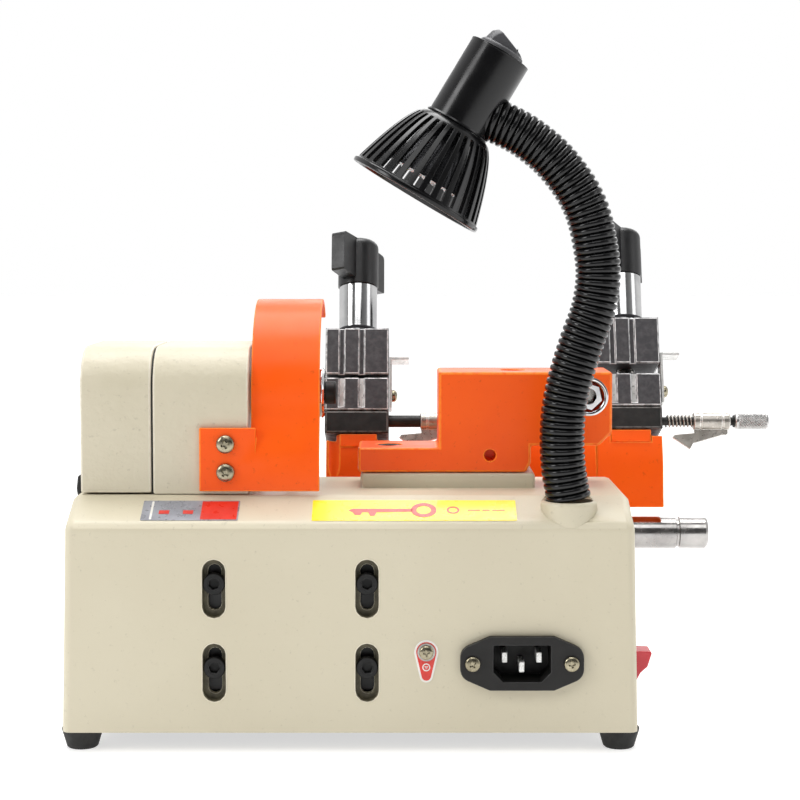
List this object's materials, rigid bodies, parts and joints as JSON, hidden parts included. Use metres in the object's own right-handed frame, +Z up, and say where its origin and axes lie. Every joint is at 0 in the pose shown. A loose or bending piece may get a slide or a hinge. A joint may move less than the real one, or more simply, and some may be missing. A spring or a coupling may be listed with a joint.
{
  "type": "key duplicating machine",
  "caption": "Horizontal key duplicating machine: cast base with motor, belt-driven cutter, tracer, swinging carriage with two vises, gauge rod and a gooseneck lamp.",
  "frame": {"origin": "bottom centre of the bounding box, on the surface that the feet stand on", "axes": "+X along the spindle towards the tracer and the shaft end, +Y towards the operator, +Z up"},
  "size_m": [0.313, 0.233, 0.2926],
  "materials": {
    "cream_paint": "hammered cream enamel",
    "orange_paint": "glossy orange powder coat",
    "black_plastic": "satin moulded",
    "gloss_black": "gloss moulded",
    "rubber": "matte",
    "vise_steel": "mottled, heat treated",
    "chrome": "polished",
    "blackened_steel": "blackened",
    "tool_steel": "ground",
    "motor_paint": "dull grey paint",
    "red_plastic": "gloss moulded",
    "lens": "clear moulded lens"
  },
  "bodies": {
    "base": {"base_casting": "cream_paint", "bottom_plate": "blackened_steel", "foot_rear_left": "rubber", "foot_rear_right": "rubber", "foot_front_left": "rubber", "foot_front_right": "rubber", "headstock": "cream_paint", "belt_cover": "cream_paint", "spindle_bearing_left": "tool_steel", "spindle_bearing_right": "tool_steel", "drive_belt": "rubber", "cutter_guard": "orange_paint", "guard_screw_upper": "chrome", "guard_screw_lower": "chrome", "tracer_block": "orange_paint", "block_bolt_left": "blackened_steel", "block_bolt_right": "blackened_steel", "lamp_collar": "cream_paint", "power_inlet": "black_plastic", "inlet_screw_left": "chrome", "inlet_screw_right": "chrome", "power_switch_bezel": "black_plastic"},
    "motor": {"motor_body": "motor_paint", "motor_screw_1": "blackened_steel", "motor_screw_2": "blackened_steel", "motor_screw_3": "blackened_steel", "motor_screw_4": "blackened_steel"},
    "rotor": {"motor_rotor": "tool_steel"},
    "spindle": {"spindle": "tool_steel", "spindle_pulley": "motor_paint", "cutter_wheel": "tool_steel", "cutter_nut": "chrome", "cutter_bolt": "blackened_steel"},
    "stylus": {"tracer_stylus": "tool_steel"},
    "stylus_nut": {"tracer_nut": "chrome"},
    "lamp": {"gooseneck": "black_plastic", "lamp_body": "gloss_black", "lamp_shade": "gloss_black", "lamp_bulb": "lens"},
    "lamp_rocker": {"lamp_switch": "black_plastic"},
    "power_rocker": {"power_switch_rocker": "red_plastic"},
    "shaft": {"carriage_shaft": "chrome"},
    "carriage": {"carriage": "orange_paint", "carriage_handle": "black_plastic", "vise_block_left": "blackened_steel", "vise_block_right": "blackened_steel", "lower_jaw_left": "vise_steel", "lower_jaw_right": "vise_steel", "clamp_stud_left": "tool_steel", "clamp_stud_right": "tool_steel", "stop_plate_left": "tool_steel", "stop_plate_right": "tool_steel", "gauge_spring": "tool_steel"},
    "jaw_left": {"upper_jaw_left": "vise_steel"},
    "jaw_right": {"upper_jaw_right": "vise_steel"},
    "knob_left": {"wing_knob_left": "black_plastic"},
    "knob_right": {"wing_knob_right": "black_plastic"},
    "gauge_rod": {"gauge_rod": "chrome"},
    "finger_left": {"gauge_finger_left": "chrome"},
    "finger_right": {"gauge_finger_right": "chrome"}
  },
  "joints": [
    {"name": "motor_adjust", "type": "slide", "parent": "base", "child": "motor", "axis": [0, 0, 1], "range_m": [-0.003, 0.003], "deforming": ["drive_belt"]},
    {"name": "motor_spin", "type": "hinge", "parent": "motor", "child": "rotor", "pos_m": [-0.03734, -0.05622, 0.05035], "axis": [1, 0, 0], "continuous": true},
    {"name": "spindle_spin", "type": "hinge", "parent": "base", "child": "spindle", "pos_m": [-0.03734, -0.03502, 0.142], "axis": [1, 0, 0], "continuous": true},
    {"name": "stylus_slide", "type": "slide", "parent": "base", "child": "stylus", "axis": [0, 1, 0], "range_m": [-0.0006, 0.0006]},
    {"name": "stylus_nut_turn", "type": "hinge", "parent": "base", "child": "stylus_nut", "pos_m": [0.06336, -0.05102, 0.142], "axis": [0, 1, 0], "range_deg": [-289, 289]},
    {"name": "lamp_swivel", "type": "hinge", "parent": "base", "child": "lamp", "pos_m": [0.05216, -0.08802, 0.102], "axis": [0, 0, 1], "range_deg": [-90, 90]},
    {"name": "lamp_rocker_tip", "type": "hinge", "parent": "lamp", "child": "lamp_rocker", "pos_m": [0.02346, -0.08802, 0.2837], "axis": [0, 1, 0], "range_deg": [-16, 0]},
    {"name": "power_rocker_tip", "type": "hinge", "parent": "base", "child": "power_rocker", "pos_m": [0.08021, -0.06502, 0.0265], "axis": [0, 1, 0], "range_deg": [-28, 0]},
    {"name": "shaft_slide", "type": "slide", "parent": "base", "child": "shaft", "axis": [1, 0, 0], "range_m": [-0.043, 0]},
    {"name": "carriage_swing", "type": "hinge", "parent": "shaft", "child": "carriage", "pos_m": [-0.03734, 0.01898, 0.072], "axis": [1, 0, 0], "range_deg": [0, 23]},
    {"name": "jaw_left_slide", "type": "slide", "parent": "carriage", "child": "jaw_left", "axis": [0, 0.342, 0.9397], "range_m": [-0.0012, 0.004]},
    {"name": "knob_left_turn", "type": "hinge", "parent": "jaw_left", "child": "knob_left", "pos_m": [-0.03734, 0.05185, 0.1623], "axis": [0, 0.342, 0.9397], "range_deg": [-346, 1153]},
    {"name": "jaw_right_slide", "type": "slide", "parent": "carriage", "child": "jaw_right", "axis": [0, 0.342, 0.9397], "range_m": [-0.0044, 0.0012]},
    {"name": "knob_right_turn", "type": "hinge", "parent": "jaw_right", "child": "knob_right", "pos_m": [0.09116, 0.0537, 0.16738], "axis": [0, 0.342, 0.9397], "range_deg": [-1268, 346]},
    {"name": "gauge_rod_slide", "type": "slide", "parent": "carriage", "child": "gauge_rod", "axis": [1, 0, 0], "range_m": [-0.004, 0], "stiffness_N_per_m": 300, "springref_m": 0.004, "deforming": ["gauge_spring"]},
    {"name": "finger_right_turn", "type": "hinge", "parent": "gauge_rod", "child": "finger_right", "pos_m": [-0.03734, 0.02728, 0.12346], "axis": [1, 0, 0], "range_deg": [-110, 0]},
    {"name": "finger_left_turn", "type": "hinge", "parent": "gauge_rod", "child": "finger_left", "pos_m": [-0.03734, 0.02728, 0.12346], "axis": [1, 0, 0], "range_deg": [-110, 0]}
  ],
  "couplings": [
    {"joint": "motor_spin", "follows": "spindle_spin", "ratio": 0.8125},
    {"joint": "stylus_nut_turn", "follows": "stylus_slide", "rad_per_m": 8377.6},
    {"joint": "knob_left_turn", "follows": "jaw_left_slide", "rad_per_m": 5026.5},
    {"joint": "knob_right_turn", "follows": "jaw_right_slide", "rad_per_m": 5026.5},
    {"joint": "finger_left_turn", "follows": "finger_right_turn", "ratio": 1}
  ]
}
